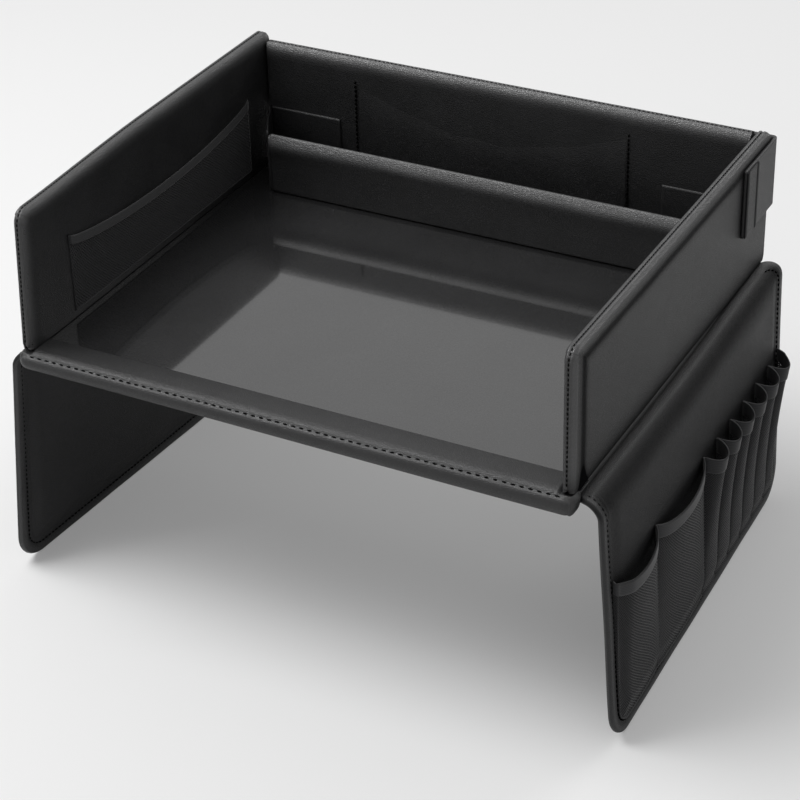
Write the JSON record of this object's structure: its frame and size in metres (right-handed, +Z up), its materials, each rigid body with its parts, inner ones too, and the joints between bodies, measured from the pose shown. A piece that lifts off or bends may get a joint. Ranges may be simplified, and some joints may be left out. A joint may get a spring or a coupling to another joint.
{
  "type": "car seat tray table",
  "caption": "Padded car seat tray table with folding side and back walls, a rear pocket, corner tabs, and two hanging wings with net pockets and pen sleeves.",
  "frame": {"origin": "middle of the flat underside of the floor panel, which rests on the seat's arms or the lap", "axes": "+X to the right along the tray's width, +Y to the back wall, +Z up"},
  "size_m": [0.4551, 0.3407, 0.2898],
  "materials": {
    "leather": "fine pebbled grain, soft sheen",
    "lining": "plain woven lining",
    "film": "clear glossy film over dark leather",
    "board": "hidden stiffener",
    "foam": "hidden padding",
    "net": "fine air mesh",
    "elastic": "ribbed elastic band",
    "tape": "hook and loop tape",
    "webbing": "woven webbing"
  },
  "bodies": {
    "tray": {"floor_under_cover": "lining", "floor_board": "board", "floor_foam": "foam", "floor_top_cover": "leather", "floor_film": "film", "front_hem": "leather", "left_wing_fold": "leather", "right_wing_fold": "leather", "left_strap_loop": "webbing", "right_strap_loop": "webbing"},
    "left_wall": {"left_wall_outer_cover": "leather", "left_wall_inner_cover": "leather", "left_wall_seam": "leather", "left_wall_board": "board", "left_wall_foam": "foam", "left_tab_side": "leather", "left_tab_strip": "elastic", "left_mesh_pocket": "net", "left_pocket_band": "elastic"},
    "right_wall": {"right_wall_outer_cover": "leather", "right_wall_inner_cover": "leather", "right_wall_seam": "leather", "right_wall_board": "board", "right_wall_foam": "foam", "right_tab_side": "leather", "right_tab_strip": "elastic"},
    "back_wall": {"back_wall_outer_cover": "leather", "back_wall_inner_cover": "leather", "back_wall_seam": "leather", "back_wall_board": "board", "back_wall_foam": "foam", "tablet_pocket": "leather", "left_loop_tape": "tape", "right_loop_tape": "tape"},
    "pocket_front": {"pocket_front_cover": "leather", "pocket_front_board": "board", "left_gusset": "leather", "right_gusset": "leather"},
    "left_tab": {"left_tab_flap": "leather", "left_hook_tape": "tape"},
    "right_tab": {"right_tab_flap": "leather", "right_hook_tape": "tape"},
    "left_wing": {"left_wing_outer_cover": "leather", "left_wing_inner_cover": "leather", "left_wing_seam": "leather", "left_wing_board": "board"},
    "right_wing": {"right_wing_outer_cover": "leather", "right_wing_inner_cover": "leather", "right_wing_seam": "leather", "right_wing_board": "board", "front_net_pocket": "net", "front_pocket_band": "elastic", "middle_net_pocket": "net", "middle_pocket_band": "elastic", "pen_sleeve_1": "net", "pen_sleeve_2": "net", "pen_sleeve_3": "net", "pen_sleeve_4": "net", "pen_sleeve_5": "net", "pen_sleeve_6": "net"}
  },
  "joints": [
    {"name": "left_wall_fold", "type": "hinge", "parent": "tray", "child": "left_wall", "pos_m": [-0.2, 0, 0.0111], "axis": [0, -1, 0], "range_deg": [0, 90]},
    {"name": "right_wall_fold", "type": "hinge", "parent": "tray", "child": "right_wall", "pos_m": [0.2, 0, 0.0111], "axis": [0, 1, 0], "range_deg": [0, 90]},
    {"name": "back_wall_fold", "type": "hinge", "parent": "tray", "child": "back_wall", "pos_m": [0, 0.15275, 0.012], "axis": [1, 0, 0], "range_deg": [0, 75]},
    {"name": "pocket_front_fold", "type": "hinge", "parent": "tray", "child": "pocket_front", "pos_m": [0, 0.10975, 0.012], "axis": [1, 0, 0], "range_deg": [0, 75], "deforming": ["left_gusset", "right_gusset"]},
    {"name": "left_wing_swing", "type": "hinge", "parent": "tray", "child": "left_wing", "pos_m": [-0.2105, 0, -0.004], "axis": [0, 1, 0], "range_deg": [-90, 75], "deforming": ["left_wing_fold"]},
    {"name": "right_wing_swing", "type": "hinge", "parent": "tray", "child": "right_wing", "pos_m": [0.2105, 0, -0.004], "axis": [0, -1, 0], "range_deg": [-90, 75], "deforming": ["right_wing_fold"]},
    {"name": "left_tab_peel", "type": "hinge", "parent": "left_wall", "child": "left_tab", "pos_m": [-0.2023, 0.16375, 0.075], "axis": [0, 0, 1], "range_deg": [0, 90]},
    {"name": "right_tab_peel", "type": "hinge", "parent": "right_wall", "child": "right_tab", "pos_m": [0.2023, 0.16375, 0.075], "axis": [0, 0, -1], "range_deg": [0, 90]}
  ],
  "couplings": [
    {"joint": "pocket_front_fold", "follows": "back_wall_fold", "ratio": 1}
  ]
}
